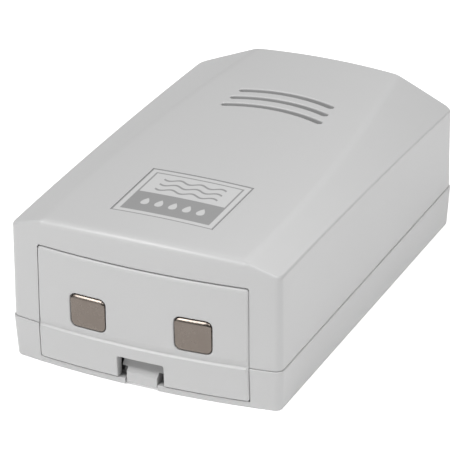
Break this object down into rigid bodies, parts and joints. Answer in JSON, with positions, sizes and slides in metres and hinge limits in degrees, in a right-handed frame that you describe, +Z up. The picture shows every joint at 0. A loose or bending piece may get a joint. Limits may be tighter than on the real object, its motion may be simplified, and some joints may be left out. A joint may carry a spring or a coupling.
{
  "type": "water leak sensor",
  "caption": "Low plastic case with chamfered, bowed top, curved sound slots and a front battery door that carries metal water electrodes and is held by a snap tongue.",
  "frame": {"origin": "middle of the underside", "axes": "+Z up through the case, -Y towards the battery door at the front, +X to the right seen from the front"},
  "size_m": [0.07, 0.1108, 0.0393],
  "materials": {
    "case_plastic": "fine moulded texture, pale warm grey",
    "electrode_metal": "dull nickel, slightly brown",
    "spring_bronze": "bare spring bronze",
    "board_laminate": "green solder mask",
    "screw_steel": "zinc plated",
    "black_plastic": "matt black",
    "disc_brass": "bare brass",
    "tinned_metal": "tinned",
    "radio_laminate": "blue solder mask",
    "copper_wire": "lacquered copper",
    "capacitor_sleeve": "shrunk sleeve",
    "battery_jacket": "printed metal jacket",
    "snap_rubber": "soft moulded cap",
    "red_sleeve": "soft plastic sleeve",
    "black_sleeve": "soft plastic sleeve",
    "label_print": "printed plate"
  },
  "bodies": {
    "housing": {"top_cover": "case_plastic", "base": "case_plastic", "left_contact_spring": "spring_bronze", "right_contact_spring": "spring_bronze", "circuit_board": "board_laminate", "board_screws": "screw_steel", "case_screws": "screw_steel", "sounder_case": "black_plastic", "sounder_disc": "disc_brass", "sounder_pins": "tinned_metal", "radio_board": "radio_laminate", "radio_shield": "tinned_metal", "antenna_wire": "copper_wire", "controller_chip": "black_plastic", "capacitors": "capacitor_sleeve", "battery": "battery_jacket", "battery_terminals": "tinned_metal", "battery_snap": "snap_rubber", "snap_contacts": "tinned_metal", "red_lead": "red_sleeve", "black_lead": "black_sleeve", "label_plate": "label_print"},
    "door": {"battery_door": "case_plastic", "left_electrode": "electrode_metal", "right_electrode": "electrode_metal"},
    "latch": {"latch_tongue": "case_plastic"}
  },
  "joints": [
    {"name": "door_hinge", "type": "hinge", "parent": "housing", "child": "door", "pos_m": [0, -0.05475, 0.0313], "axis": [-1, 0, 0], "range_deg": [0, 75]},
    {"name": "latch_flex", "type": "hinge", "parent": "housing", "child": "latch", "pos_m": [0, -0.0364, 0.0013], "axis": [1, 0, 0], "range_deg": [0, 1.7], "stiffness_Nm_per_rad": 1}
  ]
}
